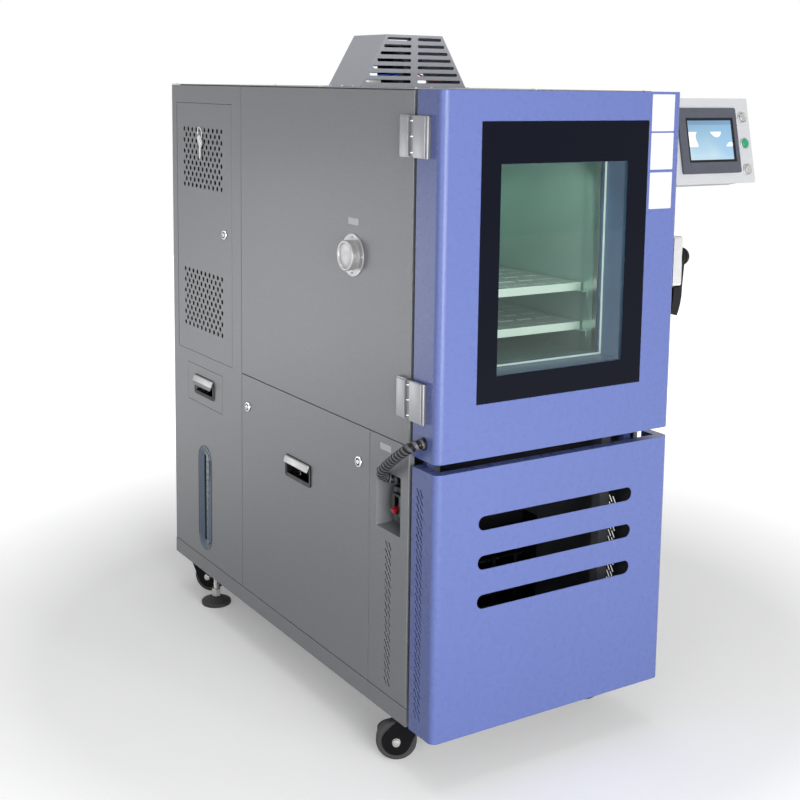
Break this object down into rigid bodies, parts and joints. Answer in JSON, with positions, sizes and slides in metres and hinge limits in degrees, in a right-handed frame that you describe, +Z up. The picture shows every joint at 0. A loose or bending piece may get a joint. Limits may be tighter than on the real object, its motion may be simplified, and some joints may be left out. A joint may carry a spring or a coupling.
{
  "type": "environmental test chamber",
  "caption": "Floor-standing climatic test chamber: windowed door over a slotted panel, tilted control head, cable port, casters and levelling feet.",
  "frame": {"origin": "on the floor, under the middle of the object's whole width and length", "axes": "+Z up, -Y out of the door, +X towards the control head"},
  "size_m": [1.0721, 1.532, 1.759],
  "materials": {
    "panel_paint": "satin",
    "door_paint": "satin",
    "black_paint": "satin",
    "stainless": "satin",
    "bright_steel": "polished",
    "hinge_steel": "satin",
    "zinc_sheet": "satin",
    "aluminium_fins": "satin",
    "aluminium_plate": "satin",
    "insulation": "matte",
    "silicone": "matte",
    "dark_blue_frame": "satin",
    "window_glass": "gloss",
    "hmi_gray": "matte",
    "black_plastic": "matte",
    "blue_plastic": "gloss",
    "red_plastic": "gloss",
    "cable_black": "matte",
    "button_metal": "polished",
    "button_green": "gloss",
    "black_rubber": "matte"
  },
  "bodies": {
    "cabinet": {"base_frame": "panel_paint", "left_upper_panel": "panel_paint", "front_strip": "panel_paint", "rear_left_panel": "panel_paint", "right_side_panel": "panel_paint", "rear_panel": "panel_paint", "top_cover": "panel_paint", "front_frame": "stainless", "inner_liner": "stainless", "insulation": "insulation", "air_baffle": "stainless", "evaporator_coil": "aluminium_fins", "port_sleeve": "bright_steel", "vent_hood": "zinc_sheet", "lower_front_panel": "door_paint", "fixed_hinge_leaves": "hinge_steel", "control_box": "panel_paint", "control_plate": "aluminium_plate", "hmi_bezel": "hmi_gray", "level_gauge": "blue_plastic", "water_tank": "black_plastic", "compressor": "black_paint", "condenser": "aluminium_fins", "fan_motor": "black_paint", "electrical_plate": "zinc_sheet", "breaker_body": "black_plastic", "levelling_feet": "zinc_sheet", "spiral_cable": "cable_black"},
    "door": {"door_shell": "door_paint", "door_inner_panel": "stainless", "door_gasket": "silicone", "window_surround": "dark_blue_frame", "window_glass": "window_glass", "handle_body": "bright_steel", "door_hinge_leaves": "hinge_steel"},
    "door_lever": {"door_lever": "black_plastic"},
    "access_door": {"access_door": "panel_paint"},
    "access_door_lock": {"access_door_lock": "bright_steel"},
    "mid_panel": {"mid_access_panel": "panel_paint", "mid_panel_handle": "black_plastic"},
    "mid_panel_lock_front": {"mid_panel_lock_front": "bright_steel"},
    "mid_panel_lock_rear": {"mid_panel_lock_rear": "bright_steel"},
    "filler_drawer": {"filler_drawer": "panel_paint"},
    "port_plug": {"port_plug": "aluminium_plate"},
    "breaker_lever": {"breaker_lever": "red_plastic"},
    "button_bottom": {"button_bottom": "button_metal"},
    "button_middle": {"button_middle": "button_green"},
    "button_top": {"button_top": "button_metal"},
    "upper_shelf": {"upper_shelf": "stainless"},
    "lower_shelf": {"lower_shelf": "stainless"},
    "fan_impeller": {"fan_impeller": "stainless"},
    "condenser_fan": {"condenser_fan": "black_paint"},
    "caster_fork_front_left": {"caster_fork_front_left": "black_paint"},
    "caster_wheel_front_left": {"caster_wheel_front_left": "black_rubber"},
    "caster_fork_front_right": {"caster_fork_front_right": "black_paint"},
    "caster_wheel_front_right": {"caster_wheel_front_right": "black_rubber"},
    "caster_fork_rear_left": {"caster_fork_rear_left": "black_paint"},
    "caster_wheel_rear_left": {"caster_wheel_rear_left": "black_rubber"},
    "caster_fork_rear_right": {"caster_fork_rear_right": "black_paint"},
    "caster_wheel_rear_right": {"caster_wheel_rear_right": "black_rubber"}
  },
  "joints": [
    {"name": "door_hinge", "type": "hinge", "parent": "cabinet", "child": "door", "pos_m": [-0.49775, -0.6625, 1.217], "axis": [0, 0, -1], "range_deg": [0, 105], "deforming": ["spiral_cable"]},
    {"name": "door_lever_turn", "type": "hinge", "parent": "door", "child": "door_lever", "pos_m": [0.21425, -0.738, 1.212], "axis": [-1, 0, 0], "range_deg": [0, 90]},
    {"name": "access_door_hinge", "type": "hinge", "parent": "cabinet", "child": "access_door", "pos_m": [-0.48375, 0.679, 1.185], "axis": [0, 0, -1], "range_deg": [0, 110]},
    {"name": "access_lock_turn", "type": "hinge", "parent": "access_door", "child": "access_door_lock", "pos_m": [-0.48975, 0.342, 1.19], "axis": [1, 0, 0], "range_deg": [0, 90]},
    {"name": "mid_panel_lift_off", "type": "slide", "parent": "cabinet", "child": "mid_panel", "axis": [-1, 0, 0], "range_m": [0, 0.12]},
    {"name": "mid_lock_front_turn", "type": "hinge", "parent": "mid_panel", "child": "mid_panel_lock_front", "pos_m": [-0.48975, -0.429, 0.712], "axis": [1, 0, 0], "range_deg": [0, 90]},
    {"name": "mid_lock_rear_turn", "type": "hinge", "parent": "mid_panel", "child": "mid_panel_lock_rear", "pos_m": [-0.48975, 0.191, 0.714], "axis": [1, 0, 0], "range_deg": [0, 90]},
    {"name": "filler_drawer_slide", "type": "slide", "parent": "cabinet", "child": "filler_drawer", "axis": [-1, 0, 0], "range_m": [0, 0.13]},
    {"name": "port_plug_pull", "type": "slide", "parent": "cabinet", "child": "port_plug", "axis": [-1, 0, 0], "range_m": [0, 0.08]},
    {"name": "breaker_toggle", "type": "hinge", "parent": "cabinet", "child": "breaker_lever", "pos_m": [-0.45375, -0.578, 0.641], "axis": [0, 1, 0], "range_deg": [0, 44]},
    {"name": "button_bottom_push", "type": "slide", "parent": "cabinet", "child": "button_bottom", "axis": [0, 0.9778, -0.2096], "range_m": [0, 0.002], "stiffness_N_per_m": 600, "springref_m": -0.001},
    {"name": "button_middle_push", "type": "slide", "parent": "cabinet", "child": "button_middle", "axis": [0, 0.9778, -0.2096], "range_m": [0, 0.002], "stiffness_N_per_m": 600, "springref_m": -0.001},
    {"name": "button_top_push", "type": "slide", "parent": "cabinet", "child": "button_top", "axis": [0, 0.9778, -0.2096], "range_m": [0, 0.002], "stiffness_N_per_m": 600, "springref_m": -0.001},
    {"name": "upper_shelf_slide", "type": "slide", "parent": "cabinet", "child": "upper_shelf", "axis": [0, -1, 0], "range_m": [0, 0.06]},
    {"name": "lower_shelf_slide", "type": "slide", "parent": "cabinet", "child": "lower_shelf", "axis": [0, -1, 0], "range_m": [0, 0.06]},
    {"name": "fan_spin", "type": "hinge", "parent": "cabinet", "child": "fan_impeller", "pos_m": [-0.13775, -0.024, 1.52], "axis": [0, 0, 1], "continuous": true},
    {"name": "condenser_fan_spin", "type": "hinge", "parent": "cabinet", "child": "condenser_fan", "pos_m": [-0.23975, -0.52, 0.355], "axis": [0, 1, 0], "continuous": true},
    {"name": "caster_swivel_front_left", "type": "hinge", "parent": "cabinet", "child": "caster_fork_front_left", "pos_m": [-0.43175, -0.596, 0.108], "axis": [0, 0, 1], "continuous": true},
    {"name": "caster_spin_front_left", "type": "hinge", "parent": "caster_fork_front_left", "child": "caster_wheel_front_left", "pos_m": [-0.46362, -0.5753, 0.0504], "axis": [-0.5446, -0.8387, 0], "continuous": true},
    {"name": "caster_swivel_front_right", "type": "hinge", "parent": "cabinet", "child": "caster_fork_front_right", "pos_m": [0.15625, -0.596, 0.108], "axis": [0, 0, 1], "continuous": true},
    {"name": "caster_spin_front_right", "type": "hinge", "parent": "caster_fork_front_right", "child": "caster_wheel_front_right", "pos_m": [0.13445, -0.56487, 0.0504], "axis": [-0.8192, -0.5736, 0], "continuous": true},
    {"name": "caster_swivel_rear_left", "type": "hinge", "parent": "cabinet", "child": "caster_fork_rear_left", "pos_m": [-0.43175, 0.668, 0.108], "axis": [0, 0, 1], "continuous": true},
    {"name": "caster_spin_rear_left", "type": "hinge", "parent": "caster_fork_rear_left", "child": "caster_wheel_rear_left", "pos_m": [-0.40888, 0.63765, 0.0504], "axis": [0.7986, 0.6018, 0], "continuous": true},
    {"name": "caster_swivel_rear_right", "type": "hinge", "parent": "cabinet", "child": "caster_fork_rear_right", "pos_m": [0.15625, 0.668, 0.108], "axis": [0, 0, 1], "continuous": true},
    {"name": "caster_spin_rear_right", "type": "hinge", "parent": "caster_fork_rear_right", "child": "caster_wheel_rear_right", "pos_m": [0.13725, 0.63509, 0.0504], "axis": [0.866, -0.5, 0], "continuous": true}
  ]
}
